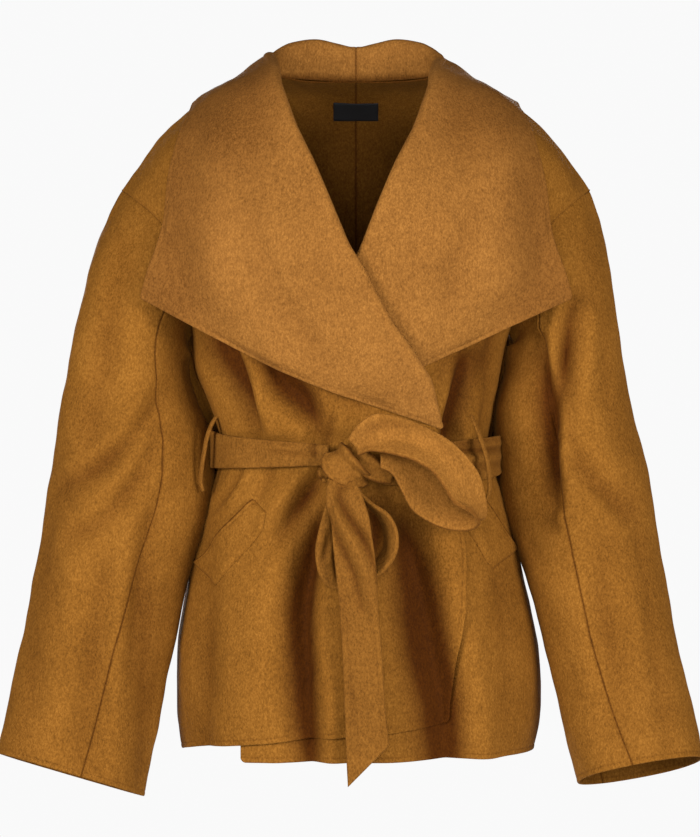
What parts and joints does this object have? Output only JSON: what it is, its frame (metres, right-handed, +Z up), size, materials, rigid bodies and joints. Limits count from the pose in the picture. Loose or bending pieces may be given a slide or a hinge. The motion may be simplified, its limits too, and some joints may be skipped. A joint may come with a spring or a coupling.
{
  "type": "belted jacket",
  "caption": "Hip-length wrap jacket of brushed wool in its worn, hollow form, with a wide shawl collar, dropped shoulders, slanted pocket welts and a tie belt knotted in a bow.",
  "frame": {"origin": "the middle of the neck, at the height where the shoulder seams meet the collar, where the wearer's shoulders hold the jacket", "axes": "+Z up the body, +Y out of the wearer's back, +X to the wearer's left"},
  "size_m": [0.6964, 0.3198, 0.7575],
  "materials": {
    "wool": "brushed double-faced wool, matt with a short nap",
    "belt_wool": "the same brushed wool, doubled",
    "label": "plain black woven tape, bare"
  },
  "bodies": {
    "root": {"back_left": "wool", "back_right": "wool", "belt_bow": "belt_wool", "belt_knot": "belt_wool", "belt_low_loop": "belt_wool", "belt_tail": "belt_wool", "belt_tail_under": "belt_wool", "belt_waist": "belt_wool", "carrier_left": "wool", "carrier_right": "wool", "collar_left": "wool", "collar_right": "wool", "front_left": "wool", "front_right": "wool", "neck_label": "label", "sleeve_left_under": "wool", "sleeve_left_upper": "wool", "sleeve_right_under": "wool", "sleeve_right_upper": "wool", "welt_left": "wool", "welt_right": "wool"}
  },
  "joints": []
}
